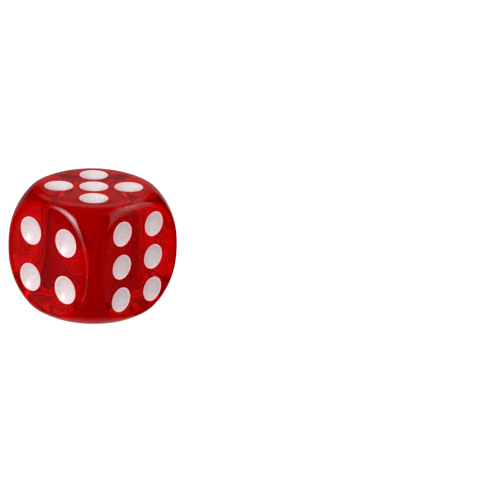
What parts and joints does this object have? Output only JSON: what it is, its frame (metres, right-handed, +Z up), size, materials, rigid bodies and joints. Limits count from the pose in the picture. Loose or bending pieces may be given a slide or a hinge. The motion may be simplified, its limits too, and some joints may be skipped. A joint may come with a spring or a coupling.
{
  "type": "casino die",
  "caption": "Translucent red six-sided die with rounded corners and dished white enamel pips in milled recesses; opposite faces add up to seven.",
  "frame": {"origin": "centre of the flat face of the 2, on which the die stands, directly under the body's centre", "axes": "+Z up, out of the 5; +X out of the 4; +Y out of the 6; so -X is the 3, -Y the 1 and -Z the 2"},
  "size_m": [0.019, 0.019, 0.019],
  "materials": {
    "red_resin": "polished",
    "white_enamel": "gloss"
  },
  "bodies": {
    "root": {"die_body": "red_resin", "one_pip_1": "white_enamel", "two_pip_1": "white_enamel", "two_pip_2": "white_enamel", "three_pip_1": "white_enamel", "three_pip_2": "white_enamel", "three_pip_3": "white_enamel", "four_pip_1": "white_enamel", "four_pip_2": "white_enamel", "four_pip_3": "white_enamel", "four_pip_4": "white_enamel", "five_pip_1": "white_enamel", "five_pip_2": "white_enamel", "five_pip_3": "white_enamel", "five_pip_4": "white_enamel", "five_pip_5": "white_enamel", "six_pip_1": "white_enamel", "six_pip_2": "white_enamel", "six_pip_3": "white_enamel", "six_pip_4": "white_enamel", "six_pip_5": "white_enamel", "six_pip_6": "white_enamel"}
  },
  "joints": []
}
